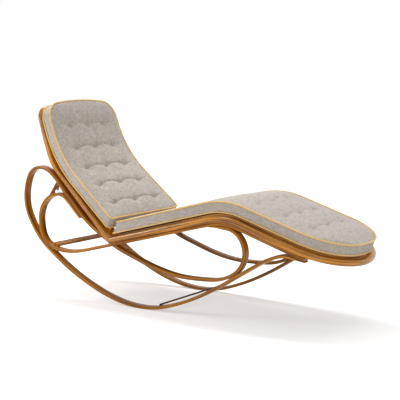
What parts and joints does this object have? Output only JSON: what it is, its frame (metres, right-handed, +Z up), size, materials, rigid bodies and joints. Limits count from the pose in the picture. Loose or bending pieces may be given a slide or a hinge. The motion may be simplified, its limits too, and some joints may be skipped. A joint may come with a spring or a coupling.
{
  "type": "rocking chaise lounge",
  "caption": "Bentwood rocking chaise lounge with looped side strips, tufted cushions and a hinged back held by notched racks.",
  "frame": {"origin": "on the floor, midway between the two runners, where they touch it at rest", "axes": "+X towards the foot end, +Y to the sitter's left, +Z up"},
  "size_m": [1.7067, 0.549, 0.9294],
  "materials": {
    "bent_wood": "gloss lacquer",
    "ring_wood": "gloss lacquer",
    "rack_wood": "satin lacquer",
    "rod_wood": "satin lacquer",
    "brass_fittings": "satin",
    "webbing": "woven",
    "cushion_fabric": "woven"
  },
  "bodies": {
    "base": {"right_runner_strip": "bent_wood", "left_runner_strip": "bent_wood", "right_inner_strip": "bent_wood", "left_inner_strip": "bent_wood", "rear_stretcher": "bent_wood", "bottom_tie_rod": "rod_wood", "stay_rod": "rod_wood", "right_rod_plate": "brass_fittings", "left_rod_plate": "brass_fittings", "seat_outer_rail": "bent_wood", "seat_inner_ring": "ring_wood", "seat_rear_rail": "bent_wood", "seat_webbing": "webbing", "seat_cushion": "cushion_fabric", "right_hinge_seat_leaf": "brass_fittings", "left_hinge_seat_leaf": "brass_fittings", "right_hinge_pin": "brass_fittings", "left_hinge_pin": "brass_fittings"},
    "back": {"back_outer_rail": "bent_wood", "back_inner_ring": "ring_wood", "back_lower_rail": "bent_wood", "back_webbing": "webbing", "back_cushion": "cushion_fabric", "right_hinge_back_leaf": "brass_fittings", "left_hinge_back_leaf": "brass_fittings", "right_rack_bracket": "brass_fittings", "left_rack_bracket": "brass_fittings"},
    "racks": {"right_rack": "rack_wood", "left_rack": "rack_wood", "rack_tie_rod": "rod_wood"}
  },
  "joints": [
    {"name": "back_recline", "type": "hinge", "parent": "base", "child": "back", "pos_m": [-0.165, 0, 0.314], "axis": [0, 1, 0], "range_deg": [0, 17]},
    {"name": "rack_swing", "type": "hinge", "parent": "back", "child": "racks", "pos_m": [-0.505, 0, 0.603], "axis": [0, -1, 0], "range_deg": [0, 7]}
  ],
  "couplings": [
    {"joint": "rack_swing", "follows": "back_recline", "ratio": 0.4}
  ]
}
